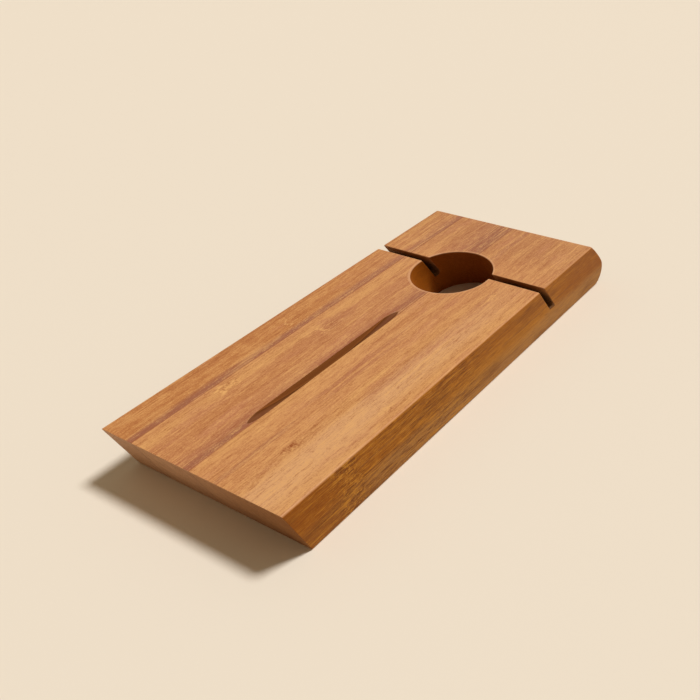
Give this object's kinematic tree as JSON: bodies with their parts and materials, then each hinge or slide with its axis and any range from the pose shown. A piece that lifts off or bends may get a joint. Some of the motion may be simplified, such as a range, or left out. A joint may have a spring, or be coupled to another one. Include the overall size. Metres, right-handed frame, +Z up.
{
  "type": "balancing wine bottle holder",
  "caption": "Slant-cut wooden board with a bored hole for a bottle neck, a cross slot, a tapered groove and a foot bevel; a bottle pushed through it balances it upright.",
  "frame": {"origin": "middle of the board's bounding box, on its underside", "axes": "+Z up out of the flat top, +Y along the board towards its rounded end, +X across the board"},
  "size_m": [0.09, 0.25, 0.025],
  "materials": {
    "oiled_wood": "satin varnish over glued staves"
  },
  "bodies": {
    "root": {"board": "oiled_wood"}
  },
  "joints": []
}
